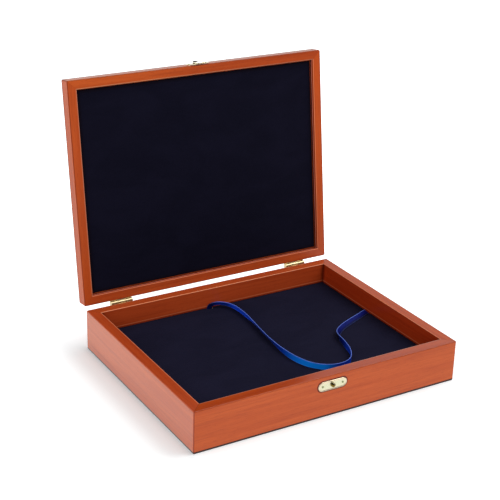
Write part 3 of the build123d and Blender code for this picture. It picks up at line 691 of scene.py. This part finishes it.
def makeSatin():
    # weft ribs across, and a paler line along both edges: partly the woven edge, partly a painted highlight,
    # strongest on the upper edge
    material, tree, shader = startMaterial("satinRibbon", satin["fixed"])
    surface = addNode(tree, "ShaderNodeUVMap", {"uv_map": "surface"}).outputs["UV"]
    along, across = axes(tree, surface)["X"], axes(tree, surface)["Y"]
    threads = noise(tree, stretch(tree, surface, satin["threads"]), 1.0)
    longThreads = noise(tree, stretch(tree, surface, satin["longThreads"]), 1.0)
    colour = mixColours(tree, reach(tree, threads, *satin["threadReach"]), satin["deep"], satin["plain"])
    # painted light and shade along the ribbon: a painted sheen where its middle turns to the front, a painted
    # highlight on an early stretch, and painted shade where it turns away at the right
    for look in (satin["azure"], satin["lit"]):
        colour = mixColours(tree, between(tree, along, look["rise"], look["fall"]), colour, look["colour"])
    away, lowerShade, selvedge, foot = (satin[k] for k in ("away", "lowerShade", "selvedge", "foot"))
    colour = mixColours(tree, reach(tree, along, *away["reach"]), colour, away["colour"])
    # painted shade along the lower edge of the stretch that turns away
    share = times(tree, reach(tree, along, *lowerShade["reach"]), reach(tree, across, *lowerShade["across"]))
    colour = mixColours(tree, share, colour, lowerShade["colour"])
    # paler edges: woven edge and painted highlight
    share = plus(tree, reach(tree, across, *selvedge["upper"]), reach(tree, across, *selvedge["lower"]))
    colour = mixColours(tree, share, colour, selvedge["colour"])
    # painted shade at the ribbon's start
    colour = mixColours(tree, reach(tree, along, *foot["reach"]), colour, foot["colour"])
    heights = plus(tree, threads, times(tree, longThreads, satin["longHigh"]))
    connect(tree, shader, colour, heights, satin["bump"])
    return material

def makeRibbon():
    line, run = ribbonLine()
    ahead = np.gradient(line, axis=0)
    ahead /= np.linalg.norm(ahead, axis=1, keepdims=True)
    level = np.cross(ahead, (0, 0, 1.0))
    size = np.linalg.norm(level, axis=1, keepdims=True)
    # where the ribbon runs straight down it keeps the level direction of the nearest slanting stretch
    slanting = np.flatnonzero(size[:, 0] > ribbon["slanting"])
    nearest = np.clip(np.arange(len(level)), slanting[0], slanting[-1])
    level = level[nearest] / size[nearest]
    upright = np.cross(level, ahead)
    lean = np.radians(np.interp(run / run[-1], *np.array(ribbon["lean"]).T))[:, None]
    wide = upright * np.cos(lean) + level * np.sin(lean)
    flat = np.cross(wide, ahead)
    # across: a from -1 to 1 and back on the other face; the selvedge is a little thicker and rounded
    a = np.array(ribbon["across"])
    half = np.interp(np.abs(a), *np.array(ribbon["thickness"]).T) * ribbon["thick"]
    a, half = np.concatenate((a, a[-2:0:-1])), np.concatenate((half, -half[-2:0:-1]))
    offset = wide[:, None] * (a * ribbon["width"] / 2)[:, None] + flat[:, None] * half[:, None]
    points = line[:, None] + offset
    rings = points.shape[:2]
    pointMap = np.stack((np.broadcast_to(run[:, None], rings), np.broadcast_to((a + 1) / 2, rings)), -1)
    piece = makePiece("ribbon_lifting", points, cappedFaces(*rings), makeSatin(), "base", pointMap)
    return piece, line, run[-1]

liftingRibbon, ribbonPath, ribbonLength = makeRibbon()
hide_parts("lifting_ribbon")
print("ribbon length", round(float(ribbonLength), 4))


# stage: pale floor, soft light; four numbers are from, to and the values at both
stage = {
    "floor": 6.0, "floorColour": (0.86, 0.86, 0.86, 1), "seenColour": (0.905, 0.970, 0.990, 1),
    "floorGlow": 0.60, "seenGlow": 0.22, "world": 0.60, "aim": (0, 0, 0.05),
    # what reflections see of the floor: it ends in front of the case, and is brighter at the left
    "mirrorFront": (-0.36, -0.20, 0.20, 0.95), "mirrorLeft": (-0.17, -0.155, 1.25, 1.0),
    # painted light on the floor as the camera sees it, added away from the case and behind it, and a painted shadow
    # close to its left side
    "glowAway": (0.008, 0.120, 0.0, 0.45), "glowBehind": (0.110, 0.170, 0.0, 0.25),
    "shadeLeft": (-0.1535, -0.1505, 1, 0), "shadeClose": (0.0, 0.012, 0.10, 0.0),
    # what reflections see of the room: darker in front, lighter behind and above
    "roomBehind": (-0.25, 0.55, 0.16, 0.95), "roomAbove": (0.70, 0.95, 0.0, 0.60),
    "lamps": [
        {"name": "keyLight", "spot": (1.0, -0.3, 1.6), "side": 1.2, "power": 17.0, "colour": (1.0, 0.99, 0.97)},
        {"name": "fillLight", "spot": (-1.3, -1.2, 0.9), "side": 1.6, "power": 9.0, "colour": (1.0, 0.99, 0.98)},
    ],
}

def rays(tree):
    # rays that the camera sees directly or through something, and rays off a shiny surface
    path = addNode(tree, "ShaderNodeLightPath").outputs
    return larger(tree, path["Is Camera Ray"], path["Is Transmission Ray"]), path["Is Glossy Ray"]

def makeFloor():
    half = stage["floor"]
    data = bpy.data.meshes.new("stageFloor")
    data.from_pydata([(-half, -half, 0), (half, -half, 0), (half, half, 0), (-half, half, 0)], [], [(0, 1, 2, 3)])
    material, tree, shader = startMaterial("stageFloor", {
        "Roughness": 1.0, "Specular IOR Level": 0.0, "Emission Color": (1, 1, 1, 1)})
    seen, mirrored = rays(tree)
    spot = axes(tree, objectCoords(tree))
    colour = mixColours(tree, seen, stage["floorColour"], stage["seenColour"])
    tree.links.new(mixColours(tree, mirrored, colour, (0, 0, 0, 1)), shader.inputs["Base Color"])
    # the sheet glows a little, as a lit light table does; as the camera sees it, painted light lifts the case's
    # shadow away from the case and behind it, and a painted shadow darkens it close to its left side
    away = larger(tree, minus(tree, sizeOf(tree, spot["X"]), case["halfLength"]),
                  minus(tree, sizeOf(tree, spot["Y"]), case["halfDepth"]))
    lit = plus(tree, stage["seenGlow"], reach(tree, away, *stage["glowAway"]))
    lit = plus(tree, lit, reach(tree, spot["Y"], *stage["glowBehind"]))
    left = times(tree, reach(tree, spot["X"], *stage["shadeLeft"]), reach(tree, away, *stage["shadeClose"]))
    glow = mixValues(tree, seen, stage["floorGlow"], minus(tree, lit, left))
    mirror = times(tree, reach(tree, spot["Y"], *stage["mirrorFront"]), reach(tree, spot["X"], *stage["mirrorLeft"]))
    tree.links.new(mixValues(tree, mirrored, glow, mirror), shader.inputs["Emission Strength"])
    data.materials.append(material)
    floor = bpy.data.objects.new("stageFloor", data)
    bpy.context.scene.collection.objects.link(floor)

def makeWorld():
    world = bpy.data.worlds.new("studio")
    world.use_nodes = True
    tree = world.node_tree
    tree.nodes.clear()
    seen, mirrored = rays(tree)
    towards = axes(tree, addNode(tree, "ShaderNodeTexCoord").outputs["Generated"])
    behind, above = (reach(tree, towards[k], *stage[look]) for k, look in (("Y", "roomBehind"), ("Z", "roomAbove")))
    room = mixValues(tree, mirrored, stage["world"], larger(tree, behind, above))
    strength = mixValues(tree, seen, room, 1.0)
    sky = addNode(tree, "ShaderNodeBackground", None, {"Color": (1, 1, 1, 1), "Strength": strength})
    out = addNode(tree, "ShaderNodeOutputWorld")
    tree.links.new(sky.outputs[0], out.inputs["Surface"])
    bpy.context.scene.world = world

def makeLamp(lamp):
    data = bpy.data.lights.new(lamp["name"], "AREA")
    data.shape = "SQUARE"
    data.size = lamp["side"]
    data.energy = lamp["power"]
    data.color = lamp["colour"]
    light = bpy.data.objects.new(lamp["name"], data)
    light.location = lamp["spot"]
    light.rotation_euler = (Vector(stage["aim"]) - Vector(lamp["spot"])).to_track_quat("-Z", "Y").to_euler()
    bpy.context.scene.collection.objects.link(light)

makeFloor()
makeWorld()
for lamp in stage["lamps"]:
    makeLamp(lamp)
bpy.context.scene.view_settings.view_transform = "Standard"
print("stage lit")
